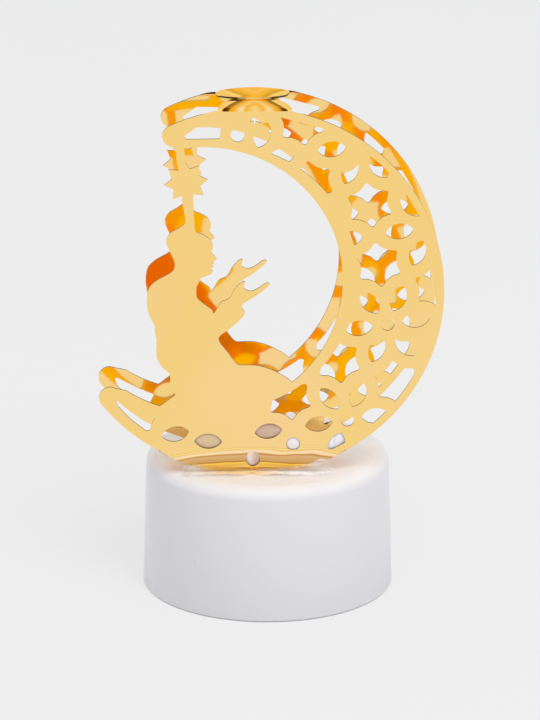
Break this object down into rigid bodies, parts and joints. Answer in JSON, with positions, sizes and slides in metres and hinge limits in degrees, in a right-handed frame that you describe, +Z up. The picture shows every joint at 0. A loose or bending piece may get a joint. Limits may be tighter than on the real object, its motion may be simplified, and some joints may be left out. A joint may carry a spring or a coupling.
{
  "type": "moon table lamp",
  "caption": "Battery table lamp: a pierced gold sheet-metal crescent with a seated figure, folded double, glued to a round white plastic base with a battery door and slide switch underneath.",
  "frame": {"origin": "axis of the round base, in the plane the base stands on", "axes": "+Z up, +X to the right of the viewer, so that the moon opens towards -X, and -Y towards the viewer"},
  "size_m": [0.0746, 0.055, 0.1129],
  "materials": {
    "white_plastic": "glossy white moulded plastic",
    "bottom_plastic": "satin white moulded plastic",
    "door_plastic": "satin white moulded plastic",
    "screw_steel": "zinc-plated steel",
    "switch_metal": "tinned steel can",
    "slider_black": "black nylon",
    "cell_steel": "plain steel can",
    "contact_nickel": "nickel-plated spring steel",
    "board_green": "green solder mask on glass-fibre board",
    "led_resin": "clear epoxy resin",
    "resistor_tan": "tan lacquer",
    "wire_red": "red insulation",
    "wire_black": "black insulation",
    "wire_blue": "blue insulation",
    "gilt_sheet": "gold-coloured polished sheet metal",
    "clear_glue": "clear hot-melt glue"
  },
  "bodies": {
    "lamp": {"base_shell": "white_plastic", "bottom_plate": "bottom_plastic", "plate_screw_1": "screw_steel", "plate_screw_2": "screw_steel", "plate_screw_3": "screw_steel", "switch_housing": "switch_metal", "button_cell_1": "cell_steel", "button_cell_2": "cell_steel", "button_cell_3": "cell_steel", "contact_spring": "contact_nickel", "contact_plate": "contact_nickel", "lamp_board": "board_green", "led_lamp": "led_resin", "resistor": "resistor_tan", "board_screw_1": "screw_steel", "board_screw_2": "screw_steel", "wire_red": "wire_red", "wire_black": "wire_black", "wire_blue": "wire_blue", "moon_sheet": "gilt_sheet", "glue_bead_right": "clear_glue", "glue_bead_left": "clear_glue"},
    "door": {"battery_door": "door_plastic", "door_screw": "screw_steel"},
    "slider": {"switch_slider": "slider_black"}
  },
  "joints": [
    {"name": "battery_door_hinge", "type": "hinge", "parent": "lamp", "child": "door", "pos_m": [0, -0.0195, 0.0009], "axis": [-1, 0, 0], "range_deg": [0, 80]},
    {"name": "switch_slide", "type": "slide", "parent": "lamp", "child": "slider", "axis": [1, 0, 0], "range_m": [0, 0.002]}
  ]
}
